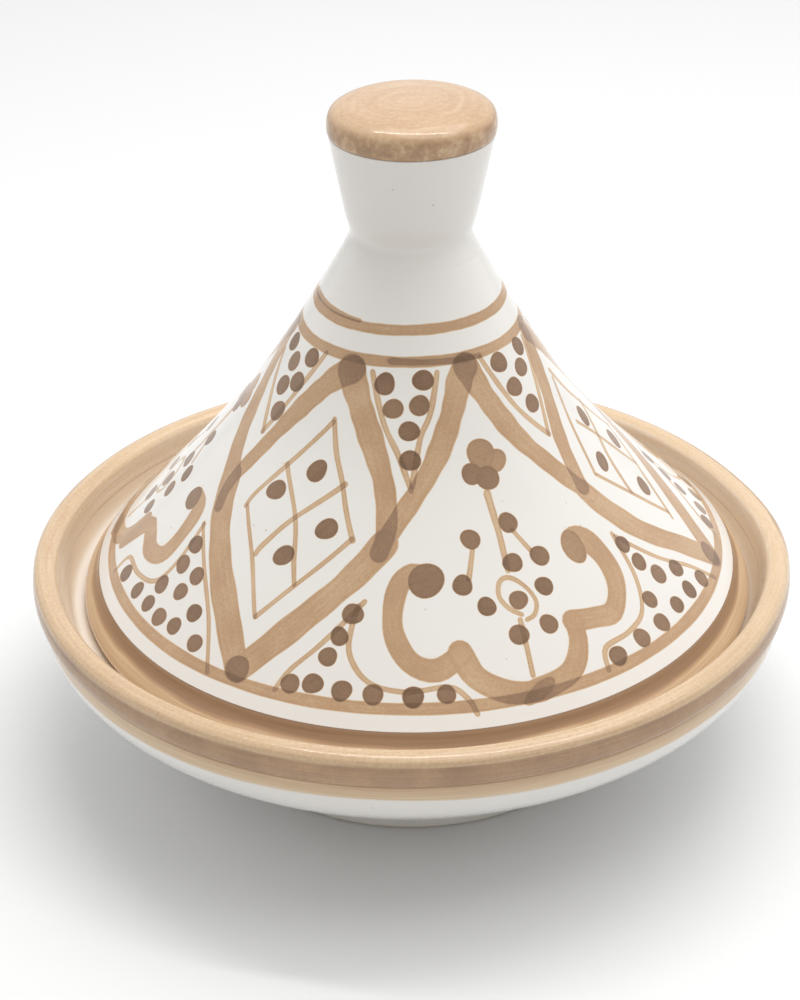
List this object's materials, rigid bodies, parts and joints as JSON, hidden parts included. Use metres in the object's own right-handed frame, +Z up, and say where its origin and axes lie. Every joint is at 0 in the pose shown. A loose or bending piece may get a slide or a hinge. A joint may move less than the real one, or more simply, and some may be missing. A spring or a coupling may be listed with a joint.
{
  "type": "tagine",
  "caption": "Round glazed cooking and serving pot: a shallow footed dish with a thick rolled rim, and a flared conical lid with a hollow hourglass handle that lifts off.",
  "frame": {"origin": "centre of the underside of the foot ring, on the surface the pot stands on", "axes": "+Z up along the turning axis of the dish and the lid; X and Y are horizontal, and -Y is the side seen most nearly face on"},
  "size_m": [0.2604, 0.2604, 0.23],
  "materials": {
    "white_glaze": "glossy tin-white glaze",
    "tan_glaze": "glossy translucent tan wash under glaze",
    "foot_clay": "thin glaze, wiped at the standing edge"
  },
  "bodies": {
    "base": {"foot_ring": "foot_clay", "dish": "white_glaze", "rim": "tan_glaze"},
    "lid": {"lid_lip": "tan_glaze", "lid_cone": "white_glaze", "neck": "white_glaze", "knob_cap": "tan_glaze"}
  },
  "joints": [
    {"name": "lid_lift", "type": "slide", "parent": "base", "child": "lid", "axis": [0, 0, 1], "range_m": [0, 0.15]}
  ]
}
